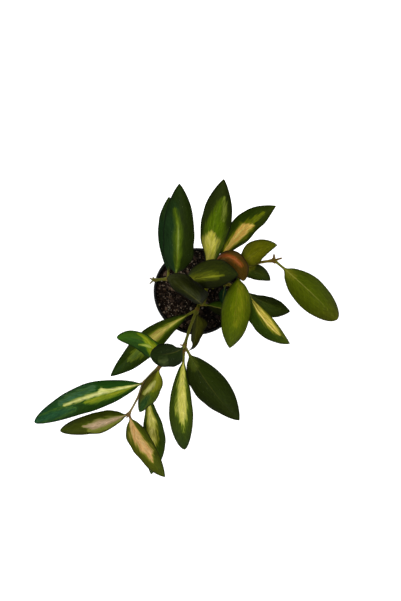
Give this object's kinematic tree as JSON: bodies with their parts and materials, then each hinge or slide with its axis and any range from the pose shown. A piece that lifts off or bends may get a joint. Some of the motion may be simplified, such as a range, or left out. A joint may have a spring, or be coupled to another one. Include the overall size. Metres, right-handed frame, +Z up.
{
  "type": "potted hoya plant",
  "caption": "Small variegated hoya: thick lance-shaped striped leaves on short and trailing vines, rooted in dark bark mix in a round black nursery pot with drain holes.",
  "frame": {"origin": "centre of the pot's flat underside, on the surface that the pot stands on", "axes": "+Z up out of the pot, +Y towards the back, where the tall leaves reach, +X to the right; the long vine trails towards -X and -Y"},
  "size_m": [0.2763, 0.2691, 0.1365],
  "materials": {
    "pot_plastic": "smooth black nursery-pot plastic with a soft sheen",
    "potting_mix": "dark loose bark mix with pale perlite grains",
    "stem": "olive-green vine, brownish at its knees and buds",
    "leaf_striped": "waxy, cream to yellow centre and dark green margin",
    "leaf_plain": "waxy, olive green with a paler midrib",
    "leaf_dark": "waxy, dark green with a thin darker edge",
    "leaf_copper": "waxy young leaf, copper centre and olive-brown margin"
  },
  "bodies": {
    "root": {"pot": "pot_plastic", "soil": "potting_mix", "stem_trailing": "stem", "stem_left": "stem", "stem_right": "stem", "stem_side": "stem", "leaf_back_left": "leaf_dark", "leaf_back_left_under": "leaf_dark", "leaf_back_middle": "leaf_striped", "leaf_back_right": "leaf_striped", "leaf_copper": "leaf_copper", "leaf_centre_right": "leaf_striped", "leaf_centre_left": "leaf_dark", "leaf_low_right": "leaf_dark", "leaf_curled": "leaf_dark", "leaf_front_left": "leaf_striped", "leaf_front_right": "leaf_plain", "leaf_right_upper": "leaf_plain", "leaf_right_lower": "leaf_dark", "leaf_far_right": "leaf_plain", "leaf_side_striped": "leaf_striped", "leaf_side_plain": "leaf_dark", "leaf_side_small": "leaf_dark", "leaf_trail_broad": "leaf_dark", "leaf_trail_striped": "leaf_striped", "leaf_trail_upright": "leaf_dark", "leaf_trail_small_left": "leaf_striped", "leaf_trail_small_right": "leaf_striped", "leaf_trail_long": "leaf_striped", "leaf_trail_under": "leaf_striped", "leaf_trail_pink": "leaf_striped", "leaf_trail_peach": "leaf_striped"}
  },
  "joints": []
}
